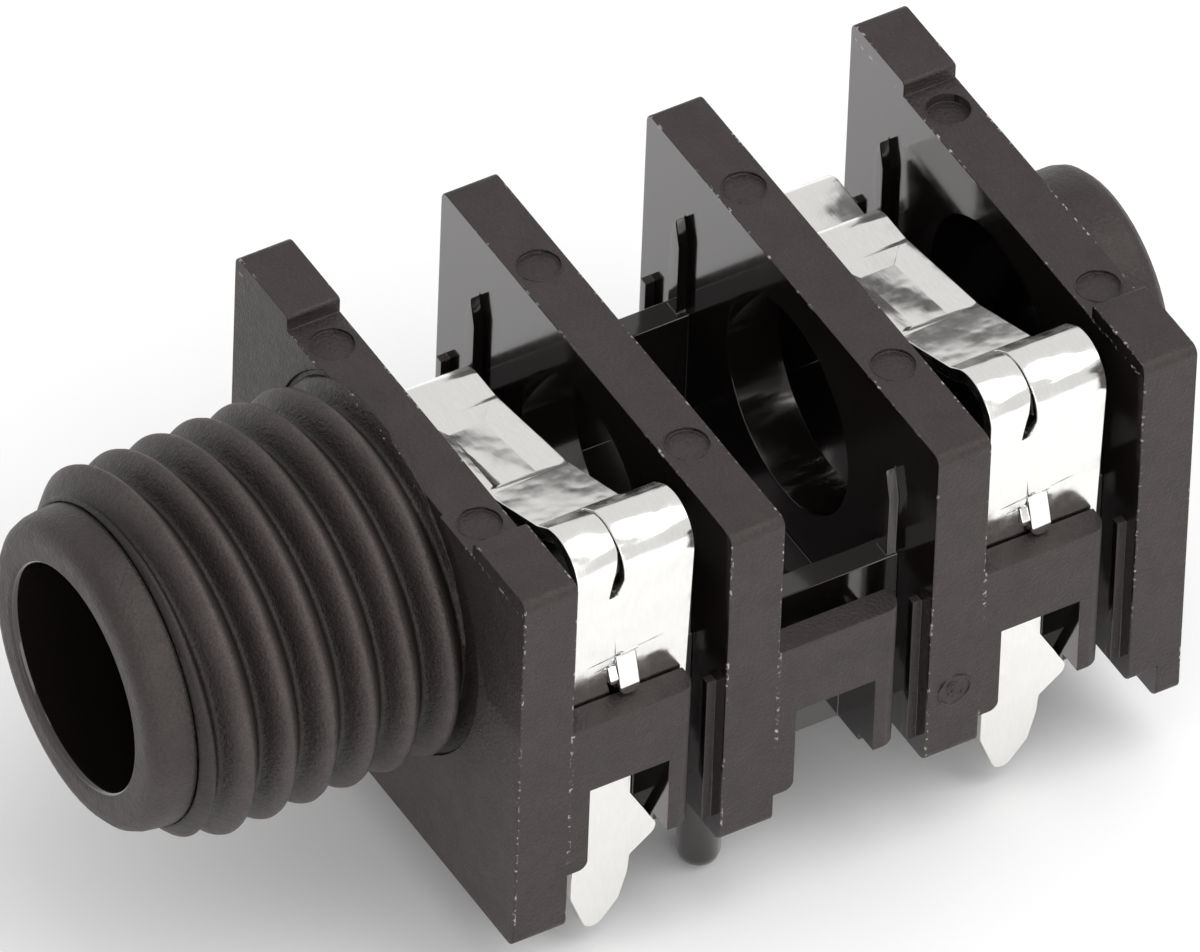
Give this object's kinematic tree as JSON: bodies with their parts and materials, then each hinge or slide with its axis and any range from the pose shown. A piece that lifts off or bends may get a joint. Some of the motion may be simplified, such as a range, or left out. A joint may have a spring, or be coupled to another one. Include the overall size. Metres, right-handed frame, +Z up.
{
  "type": "audio jack socket",
  "caption": "Quarter-inch phone jack socket for a circuit board: open black moulded body with a threaded panel bush, folded spring contacts, a break contact and solder pins.",
  "frame": {"origin": "on the plug's axis, in the plane of the body's front face, which lies on the back of the panel", "axes": "+Y along the plug as it goes in, from the panel into the body; +X to the side of the spring terminals; +Z up, away from the circuit board"},
  "size_m": [0.0158, 0.0328, 0.0155],
  "materials": {
    "black_nylon": "satin, glass-filled",
    "tinned_strip": "bright tinned strip"
  },
  "bodies": {
    "root": {"housing": "black_nylon", "sleeve_contact": "tinned_strip", "tip_contact": "tinned_strip", "tip_break_contact": "tinned_strip"}
  },
  "joints": []
}
